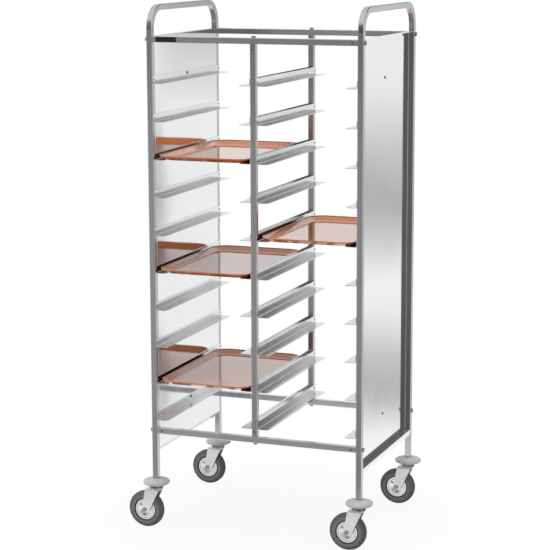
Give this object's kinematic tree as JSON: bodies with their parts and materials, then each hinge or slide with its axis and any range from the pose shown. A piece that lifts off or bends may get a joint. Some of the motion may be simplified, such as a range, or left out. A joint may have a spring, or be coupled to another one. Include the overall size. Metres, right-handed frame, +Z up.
{
  "type": "tray trolley",
  "caption": "Two-bay tray trolley: square-tube frame with bent push handles, folded runners, bright side panels, self-service trays and swivel castors with round bumpers.",
  "frame": {"origin": "on the floor, in the middle of the footprint; the castors trail to the left, so the frame's own middle is 27.25 mm to the right of it", "axes": "+X to the right as seen from the front, +Y to the rear, +Z up"},
  "size_m": [0.8644, 0.635, 1.755],
  "materials": {
    "tube": "satin stainless",
    "runner_sheet": "bright stainless sheet",
    "bright_sheet": "mirror-bright stainless sheet",
    "plug_plastic": "matte",
    "fastener_steel": "dull",
    "tray_laminate": "glossy brown laminate",
    "bumper_plastic": "matte grey",
    "zinc_steel": "bright zinc plated",
    "bearing_steel": "bright",
    "tyre_rubber": "matte dark grey"
  },
  "bodies": {
    "frame": {"side_frame_left": "tube", "side_frame_right": "tube", "top_bar_front": "tube", "top_bar_rear": "tube", "bottom_bar_front": "tube", "bottom_bar_rear": "tube", "centre_upright_front": "tube", "centre_upright_rear": "tube", "runners_left": "runner_sheet", "runners_centre_left": "runner_sheet", "runners_centre_right": "runner_sheet", "runners_right": "runner_sheet", "side_panel_left": "bright_sheet", "side_panel_right": "bright_sheet", "bar_plugs": "plug_plastic", "upright_plugs": "plug_plastic", "foot_plugs": "plug_plastic", "bar_bolts": "fastener_steel", "upright_bolts": "fastener_steel", "plug_screws": "fastener_steel", "panel_rivets": "fastener_steel", "bumper_front_left": "bumper_plastic", "bumper_front_right": "bumper_plastic", "bumper_rear_left": "bumper_plastic", "bumper_rear_right": "bumper_plastic", "castor_head_front_left": "zinc_steel", "castor_head_front_right": "zinc_steel", "castor_head_rear_left": "zinc_steel", "castor_head_rear_right": "zinc_steel", "ball_ring_front_left": "bearing_steel", "ball_ring_front_right": "bearing_steel", "ball_ring_rear_left": "bearing_steel", "ball_ring_rear_right": "bearing_steel"},
    "castor_front_left": {"fork_front_left": "zinc_steel", "axle_front_left": "zinc_steel", "axle_bush_front_left": "bearing_steel"},
    "wheel_front_left": {"rim_front_left": "zinc_steel", "tyre_front_left": "tyre_rubber"},
    "castor_front_right": {"fork_front_right": "zinc_steel", "axle_front_right": "zinc_steel", "axle_bush_front_right": "bearing_steel"},
    "wheel_front_right": {"rim_front_right": "zinc_steel", "tyre_front_right": "tyre_rubber"},
    "castor_rear_left": {"fork_rear_left": "zinc_steel", "axle_rear_left": "zinc_steel", "axle_bush_rear_left": "bearing_steel"},
    "wheel_rear_left": {"rim_rear_left": "zinc_steel", "tyre_rear_left": "tyre_rubber"},
    "castor_rear_right": {"fork_rear_right": "zinc_steel", "axle_rear_right": "zinc_steel", "axle_bush_rear_right": "bearing_steel"},
    "wheel_rear_right": {"rim_rear_right": "zinc_steel", "tyre_rear_right": "tyre_rubber"},
    "served_tray_left_3": {"tray_left_3": "tray_laminate"},
    "served_tray_left_6": {"tray_left_6": "tray_laminate"},
    "served_tray_left_9": {"tray_left_9": "tray_laminate"},
    "served_tray_right_5": {"tray_right_5": "tray_laminate"}
  },
  "joints": [
    {"name": "swivel_front_left", "type": "hinge", "parent": "frame", "child": "castor_front_left", "pos_m": [-0.33275, -0.2725, 0.13], "axis": [0, 0, 1], "continuous": true},
    {"name": "spin_front_left", "type": "hinge", "parent": "castor_front_left", "child": "wheel_front_left", "pos_m": [-0.36975, -0.2725, 0.0625], "axis": [0, 1, 0], "continuous": true},
    {"name": "swivel_front_right", "type": "hinge", "parent": "frame", "child": "castor_front_right", "pos_m": [0.38725, -0.2725, 0.13], "axis": [0, 0, 1], "continuous": true},
    {"name": "spin_front_right", "type": "hinge", "parent": "castor_front_right", "child": "wheel_front_right", "pos_m": [0.35025, -0.2725, 0.0625], "axis": [0, 1, 0], "continuous": true},
    {"name": "swivel_rear_left", "type": "hinge", "parent": "frame", "child": "castor_rear_left", "pos_m": [-0.33275, 0.2725, 0.13], "axis": [0, 0, 1], "continuous": true},
    {"name": "spin_rear_left", "type": "hinge", "parent": "castor_rear_left", "child": "wheel_rear_left", "pos_m": [-0.36975, 0.2725, 0.0625], "axis": [0, 1, 0], "continuous": true},
    {"name": "swivel_rear_right", "type": "hinge", "parent": "frame", "child": "castor_rear_right", "pos_m": [0.38725, 0.2725, 0.13], "axis": [0, 0, 1], "continuous": true},
    {"name": "spin_rear_right", "type": "hinge", "parent": "castor_rear_right", "child": "wheel_rear_right", "pos_m": [0.35025, 0.2725, 0.0625], "axis": [0, 1, 0], "continuous": true},
    {"name": "slide_left_3", "type": "slide", "parent": "frame", "child": "served_tray_left_3", "axis": [0, -1, 0], "range_m": [-0.019, 0.511]},
    {"name": "slide_left_6", "type": "slide", "parent": "frame", "child": "served_tray_left_6", "axis": [0, -1, 0], "range_m": [-0.019, 0.511]},
    {"name": "slide_left_9", "type": "slide", "parent": "frame", "child": "served_tray_left_9", "axis": [0, -1, 0], "range_m": [-0.019, 0.511]},
    {"name": "slide_right_5", "type": "slide", "parent": "frame", "child": "served_tray_right_5", "axis": [0, -1, 0], "range_m": [-0.019, 0.511]}
  ]
}
